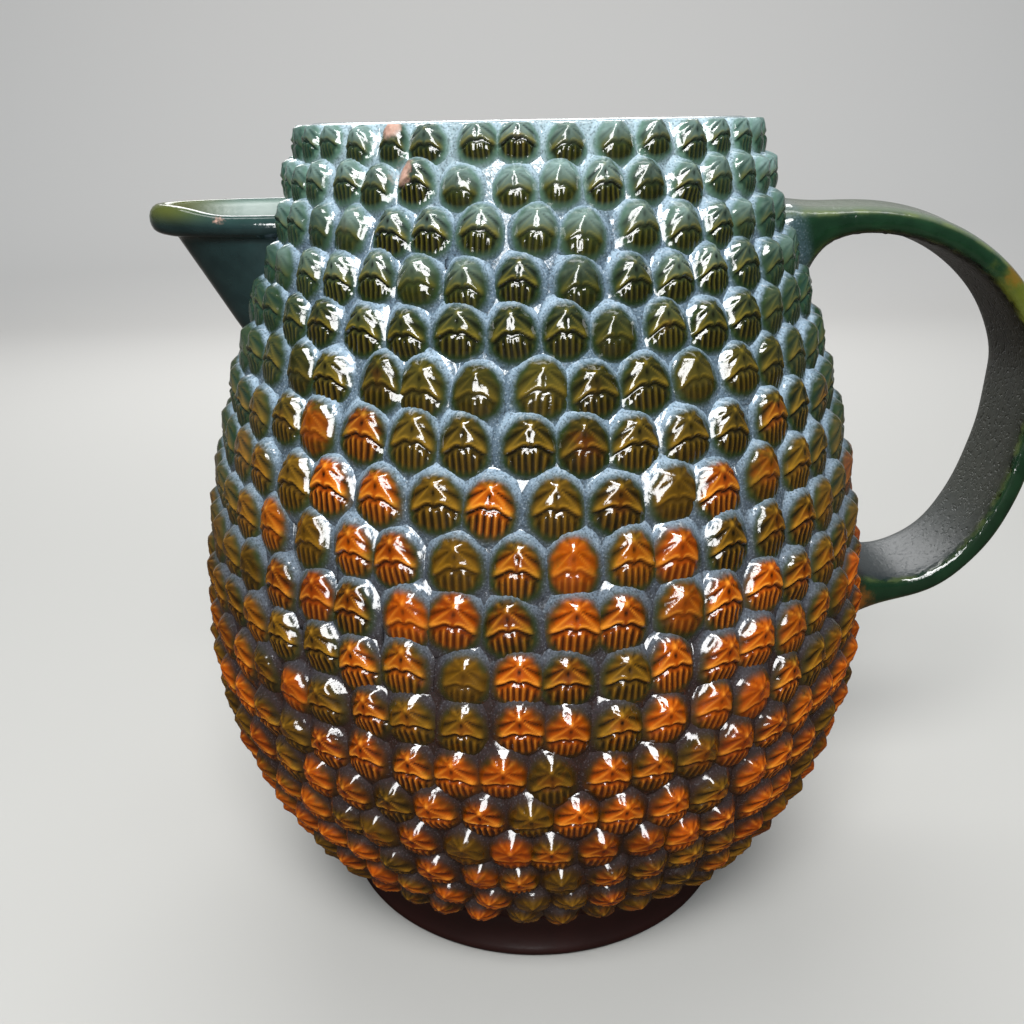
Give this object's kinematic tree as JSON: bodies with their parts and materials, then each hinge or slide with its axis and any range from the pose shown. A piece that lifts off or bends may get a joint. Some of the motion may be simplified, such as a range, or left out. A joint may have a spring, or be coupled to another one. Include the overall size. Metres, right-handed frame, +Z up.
{
  "type": "pineapple pitcher",
  "caption": "Glazed earthenware pitcher shaped like a pineapple, its ovoid wall laid with rows of pressed scales, with an open beak spout and a strap handle.",
  "frame": {"origin": "on the pot's axis, in the plane of the underside of the foot and the base slab, where the pitcher stands", "axes": "+Z up along the pot's axis, +X towards the handle, -X towards the spout, -Y towards the side that the picture shows"},
  "size_m": [0.2985, 0.2336, 0.27],
  "materials": {
    "green_glaze": "glossy green copper glaze over pressed earthenware scales",
    "amber_glaze": "glossy amber and olive glaze over pressed earthenware scales",
    "milky_glaze": "milky speckled blue-grey glaze pooled between the scales",
    "dark_green_glaze": "glossy dark green glaze on smooth clay",
    "maroon_glaze": "glossy dark maroon-brown glaze",
    "bare_clay": "unglazed terracotta, dry and matt"
  },
  "bodies": {
    "root": {"base_slab": "bare_clay", "body_wall": "milky_glaze", "foot_ring": "maroon_glaze", "handle_lower_pad": "dark_green_glaze", "handle_strap": "dark_green_glaze", "handle_upper_pad": "dark_green_glaze", "scale_course_01": "green_glaze", "scale_course_02": "green_glaze", "scale_course_03_back": "green_glaze", "scale_course_03_front": "green_glaze", "scale_course_04_back": "green_glaze", "scale_course_04_front": "green_glaze", "scale_course_05": "green_glaze", "scale_course_06": "green_glaze", "scale_course_07": "green_glaze", "scale_course_08": "amber_glaze", "scale_course_09": "amber_glaze", "scale_course_10": "amber_glaze", "scale_course_11": "amber_glaze", "scale_course_12": "amber_glaze", "scale_course_13": "amber_glaze", "scale_course_14": "amber_glaze", "scale_course_15": "amber_glaze", "scale_course_16": "amber_glaze", "scale_course_17": "amber_glaze", "scale_course_18": "amber_glaze", "spout": "dark_green_glaze"}
  },
  "joints": []
}
